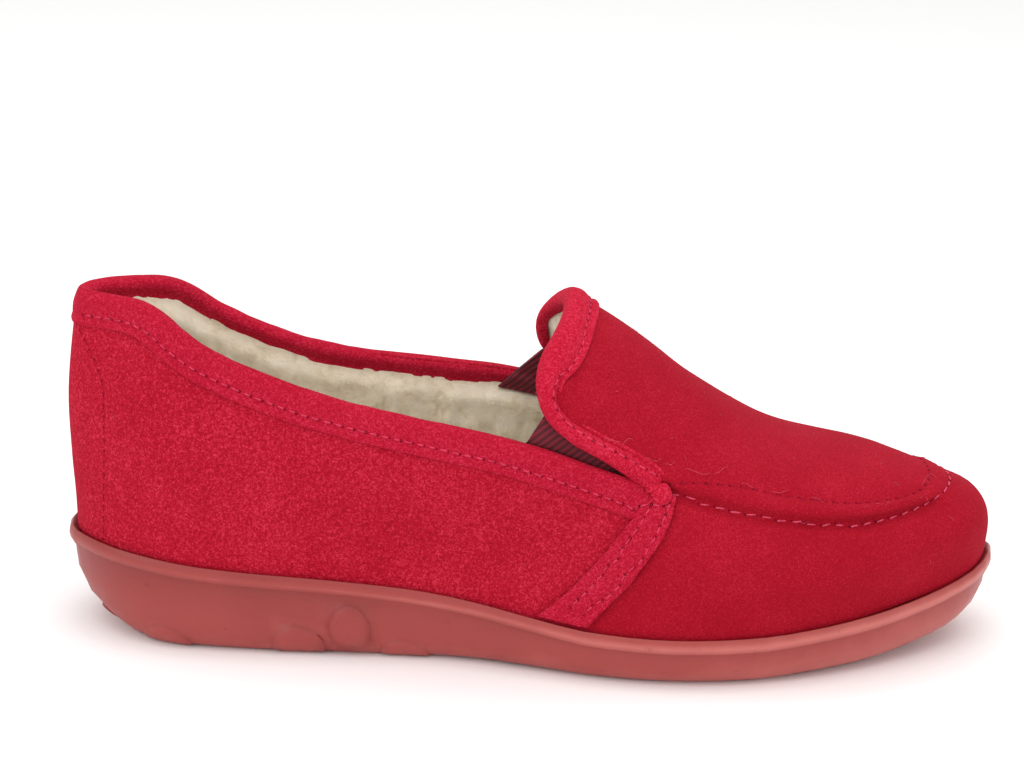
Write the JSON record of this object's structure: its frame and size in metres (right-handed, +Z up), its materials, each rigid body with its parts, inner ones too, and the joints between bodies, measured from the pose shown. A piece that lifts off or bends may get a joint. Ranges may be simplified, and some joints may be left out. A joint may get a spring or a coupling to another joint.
{
  "type": "slipper",
  "caption": "Closed slipper with a velour upper, moccasin apron and instep flap, folded bindings, elastic side gores and a low wedge unit sole",
  "frame": {"origin": "centre of the bounding box's base, on the floor", "axes": "X runs from heel to toe, Y from the outer (lateral) side to the inner (medial) side, Z up from the floor"},
  "size_m": [0.26, 0.0874, 0.0974],
  "materials": {
    "foam_rubber": "satin moulded",
    "fleece": "woolly pile",
    "velour": "soft nap",
    "velour_binding": "soft nap",
    "elastic": "ribbed elastic"
  },
  "bodies": {
    "root": {"sole": "foam_rubber", "insole": "fleece", "upper": "velour", "collar_binding": "velour_binding", "flap_binding": "velour_binding", "side_strip_outer": "velour_binding", "side_strip_inner": "velour_binding", "gore_outer": "elastic", "gore_inner": "elastic"}
  },
  "joints": []
}
